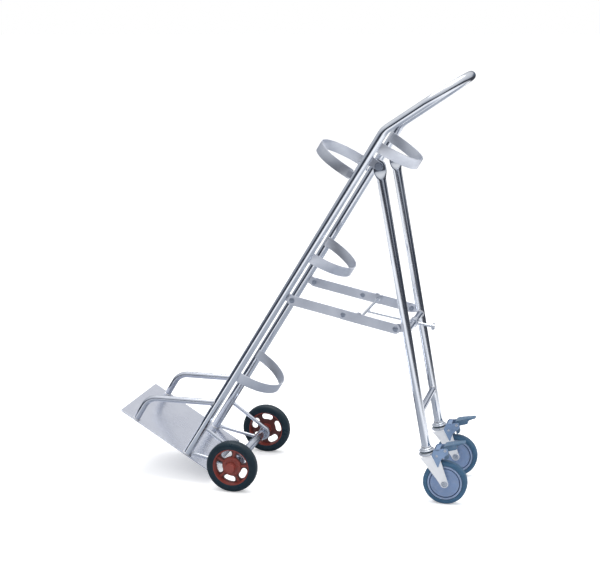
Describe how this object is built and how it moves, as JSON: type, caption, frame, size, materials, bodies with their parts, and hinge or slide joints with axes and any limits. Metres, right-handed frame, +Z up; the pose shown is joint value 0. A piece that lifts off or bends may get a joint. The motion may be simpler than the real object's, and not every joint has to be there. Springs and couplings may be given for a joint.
{
  "type": "stair climbing trolley",
  "caption": "Gas cylinder trolley in polished stainless tube: leaning frame with toe plate, holding rings and hinged gate, main wheels, and folding rear legs on braked swivel casters.",
  "frame": {"origin": "on the ground, in the middle of the overall length and width", "axes": "+Z up, +X back towards the casters, +Y to the right of a user who stands at the grip and looks towards the plate"},
  "size_m": [1.029, 0.411, 1.1998],
  "materials": {
    "frame_tube": "polished stainless tube with faint lengthwise grain",
    "plate": "mirror-polished stainless sheet with light scuffs",
    "band_steel": "polished stainless strip",
    "stay_steel": "bright flat bar",
    "lug_steel": "satin stainless plate",
    "zinc": "bright zinc plating",
    "bolt_steel": "dull dark fastener steel",
    "lever_steel": "satin zinc-plated rod",
    "caster_steel": "bright zinc-plated pressings",
    "tyre": "blue-black solid rubber, satin",
    "hub_paint": "red-brown enamel on a pressed hub",
    "brake_plastic": "blue-grey enamel",
    "pedal_plastic": "slate-blue moulded plastic",
    "caster_core": "blue-grey moulded nylon",
    "caster_tread": "slate-blue rubber tread"
  },
  "bodies": {
    "frame": {"rail_left": "frame_tube", "rail_right": "frame_tube", "handle_tube": "frame_tube", "toe_plate": "plate", "guard_left": "frame_tube", "guard_right": "frame_tube", "lower_ring": "band_steel", "middle_ring": "band_steel", "upper_ring": "band_steel", "gate_bracket": "band_steel", "gate_pin": "zinc", "gate_keeper": "band_steel", "strut_left": "frame_tube", "strut_right": "frame_tube", "axle_tube": "frame_tube", "axle_shaft": "zinc", "axle_nuts": "zinc", "leg_lug_left": "lug_steel", "leg_lug_right": "lug_steel", "leg_pivot_bolts": "bolt_steel", "stay_lug_left": "lug_steel", "stay_lug_right": "lug_steel", "front_stay_bolts": "bolt_steel"},
    "gate": {"gate_band": "band_steel"},
    "main_wheel_left": {"tyre_left": "tyre", "hub_left": "hub_paint", "hub_cap_left": "hub_paint"},
    "main_wheel_right": {"tyre_right": "tyre", "hub_right": "hub_paint", "hub_cap_right": "hub_paint"},
    "rear_legs": {"leg_left": "frame_tube", "leg_right": "frame_tube", "upper_crossbar": "frame_tube", "lower_crossbar": "frame_tube", "rear_lug_left": "lug_steel", "rear_lug_right": "lug_steel", "rear_stay_bolts": "bolt_steel", "caster_stem_left": "caster_steel", "caster_stem_right": "caster_steel"},
    "front_stays": {"front_stay_left": "stay_steel", "front_stay_right": "stay_steel", "stay_tie_rod": "stay_steel"},
    "rear_stays": {"rear_stay_left": "stay_steel", "rear_stay_right": "stay_steel", "stay_rivets": "zinc"},
    "lever": {"release_lever": "lever_steel", "lever_knob": "lever_steel"},
    "caster_swivel_left": {"caster_fork_left": "caster_steel", "caster_brake_left": "brake_plastic", "caster_axle_left": "zinc"},
    "caster_swivel_right": {"caster_fork_right": "caster_steel", "caster_brake_right": "brake_plastic", "caster_axle_right": "zinc"},
    "caster_wheel_left": {"caster_core_left": "caster_core", "caster_tread_left": "caster_tread"},
    "caster_wheel_right": {"caster_core_right": "caster_core", "caster_tread_right": "caster_tread"},
    "caster_pedal_left": {"brake_pedal_left": "pedal_plastic"},
    "caster_pedal_right": {"brake_pedal_right": "pedal_plastic"}
  },
  "joints": [
    {"name": "main_wheel_spin_left", "type": "hinge", "parent": "frame", "child": "main_wheel_left", "pos_m": [-0.15702, -0.18, 0.075], "axis": [0, 1, 0], "continuous": true},
    {"name": "main_wheel_spin_right", "type": "hinge", "parent": "frame", "child": "main_wheel_right", "pos_m": [-0.15702, 0.18, 0.075], "axis": [0, 1, 0], "continuous": true},
    {"name": "gate_swing", "type": "hinge", "parent": "frame", "child": "gate", "pos_m": [0.17125, 0.1225, 0.92422], "axis": [-0.515, 0, -0.8572], "range_deg": [0, 115]},
    {"name": "leg_fold", "type": "hinge", "parent": "frame", "child": "rear_legs", "pos_m": [0.25152, 0, 0.94715], "axis": [0, 1, 0], "range_deg": [0, 28]},
    {"name": "front_stay_fold", "type": "hinge", "parent": "frame", "child": "front_stays", "pos_m": [0.00964, 0, 0.56401], "axis": [0, -1, 0], "range_deg": [0, 60.6]},
    {"name": "rear_stay_fold", "type": "hinge", "parent": "rear_legs", "child": "rear_stays", "pos_m": [0.30602, 0, 0.50066], "axis": [0, 1, 0], "range_deg": [0, 57.52]},
    {"name": "lever_lift", "type": "hinge", "parent": "rear_legs", "child": "lever", "pos_m": [0.33529, 0, 0.49078], "axis": [0, 1, 0], "range_deg": [0, 28]},
    {"name": "caster_swivel_left", "type": "hinge", "parent": "rear_legs", "child": "caster_swivel_left", "pos_m": [0.41513, -0.117, 0.05573], "axis": [-0.1805, 0, 0.9836], "continuous": true},
    {"name": "caster_wheel_spin_left", "type": "hinge", "parent": "caster_swivel_left", "child": "caster_wheel_left", "pos_m": [0.45202, -0.117, 0.0625], "axis": [0, 1, 0], "continuous": true},
    {"name": "brake_pedal_left", "type": "hinge", "parent": "caster_swivel_left", "child": "caster_pedal_left", "pos_m": [0.4527, -0.117, 0.16125], "axis": [0, 1, 0], "range_deg": [0, 6]},
    {"name": "caster_swivel_right", "type": "hinge", "parent": "rear_legs", "child": "caster_swivel_right", "pos_m": [0.41513, 0.117, 0.05573], "axis": [-0.1805, 0, 0.9836], "continuous": true},
    {"name": "caster_wheel_spin_right", "type": "hinge", "parent": "caster_swivel_right", "child": "caster_wheel_right", "pos_m": [0.45202, 0.117, 0.0625], "axis": [0, 1, 0], "continuous": true},
    {"name": "brake_pedal_right", "type": "hinge", "parent": "caster_swivel_right", "child": "caster_pedal_right", "pos_m": [0.4527, 0.117, 0.16125], "axis": [0, 1, 0], "range_deg": [0, 6]}
  ],
  "couplings": [
    {"joint": "front_stay_fold", "follows": "leg_fold", "ratio": 2.164},
    {"joint": "rear_stay_fold", "follows": "leg_fold", "ratio": 2.054},
    {"joint": "lever_lift", "follows": "leg_fold", "ratio": 1}
  ]
}
